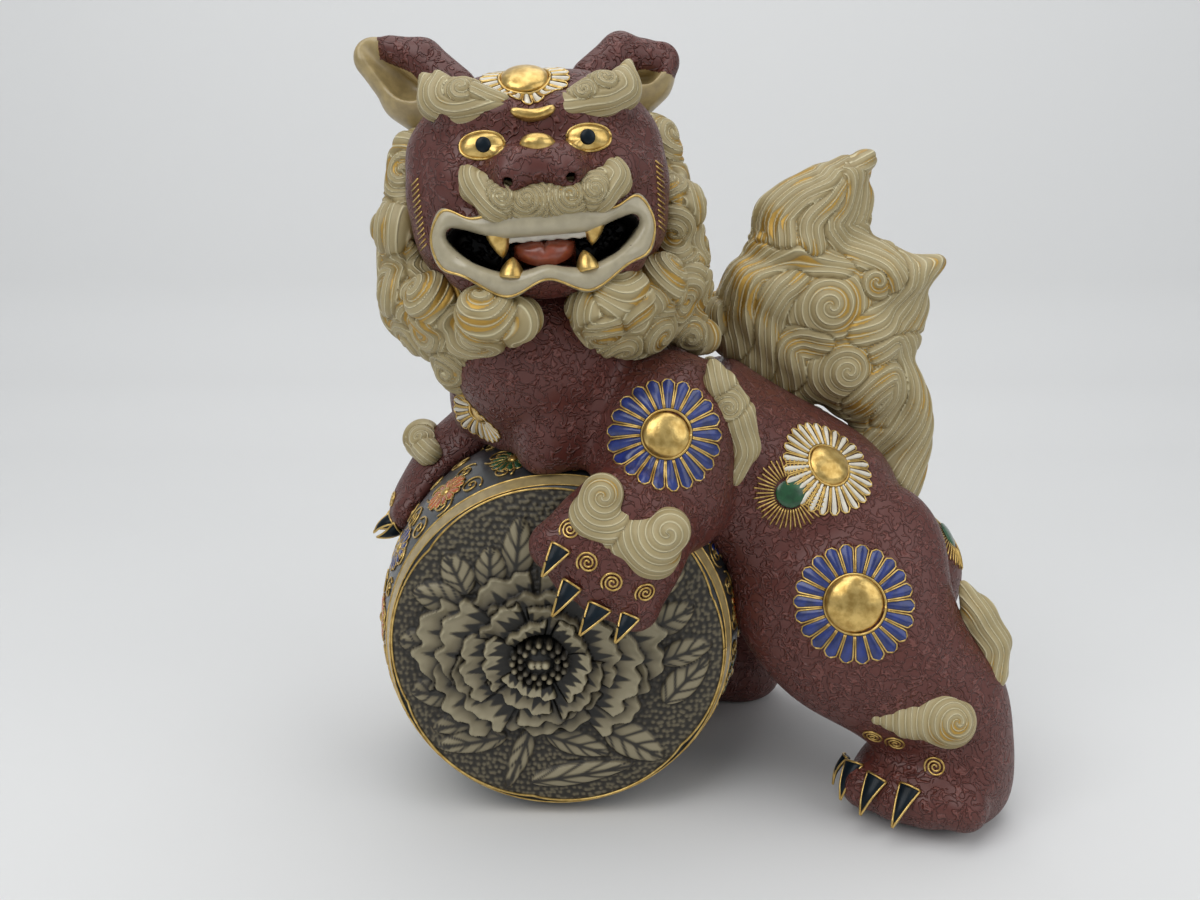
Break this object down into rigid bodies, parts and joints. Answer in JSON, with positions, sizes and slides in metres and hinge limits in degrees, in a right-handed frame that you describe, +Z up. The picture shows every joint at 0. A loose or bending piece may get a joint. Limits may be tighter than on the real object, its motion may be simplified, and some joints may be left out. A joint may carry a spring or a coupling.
{
  "type": "guardian lion figurine",
  "caption": "ceramic guardian lion with its head turned and mouth open, fore-paws on a carved peony ball, tail raised in a curled plume; free-standing ornament",
  "frame": {"origin": "centre of the ball's ground foot, on the floor", "axes": "+Z up; the lion walks towards -X and turns its face towards -Y"},
  "size_m": [0.2825, 0.1977, 0.3164],
  "materials": {
    "ball_glaze": "dark glaze with enamel scrolls",
    "relief": "carved relief, matt glaze",
    "gilt": "worn gold lustre",
    "white_glaze": "glossy white glaze",
    "red_glaze": "glossy red enamel",
    "blue_black_glaze": "glossy blue-black enamel",
    "hair_glaze": "matt cream glaze with combed lines",
    "brown_glaze": "matt maroon glaze with raised slip"
  },
  "bodies": {
    "root": {"back_peony_panel": "relief", "ball_casting": "ball_glaze", "body_casting": "brown_glaze", "crown_flower": "gilt", "front_peony_panel": "relief", "head_casting": "brown_glaze", "left_brow_tuft": "hair_glaze", "left_ear": "hair_glaze", "left_eye": "gilt", "left_fore_ankle_tuft": "hair_glaze", "left_fore_claws": "blue_black_glaze", "left_foreleg": "brown_glaze", "left_hind_ankle_tuft": "hair_glaze", "left_hind_claws": "blue_black_glaze", "left_hind_heel_tuft": "hair_glaze", "left_hind_leg": "brown_glaze", "left_hip_boss": "gilt", "left_mane": "hair_glaze", "left_pupil": "blue_black_glaze", "left_rump_boss": "gilt", "left_shoulder_boss": "gilt", "left_shoulder_tuft": "hair_glaze", "lips": "white_glaze", "lower_fangs": "gilt", "moustache": "hair_glaze", "nape_mane": "hair_glaze", "nose_bead": "gilt", "right_brow_tuft": "hair_glaze", "right_ear": "hair_glaze", "right_eye": "gilt", "right_fore_ankle_tuft": "hair_glaze", "right_fore_claws": "blue_black_glaze", "right_foreleg": "brown_glaze", "right_hind_ankle_tuft": "hair_glaze", "right_hind_claws": "blue_black_glaze", "right_hind_heel_tuft": "hair_glaze", "right_hind_leg": "brown_glaze", "right_hip_boss": "gilt", "right_mane": "hair_glaze", "right_pupil": "blue_black_glaze", "right_rump_boss": "gilt", "right_shoulder_boss": "gilt", "right_shoulder_tuft": "hair_glaze", "tail_plume": "hair_glaze", "tail_stem": "hair_glaze", "tongue": "red_glaze", "upper_fangs": "gilt", "upper_teeth": "white_glaze"}
  },
  "joints": []
}
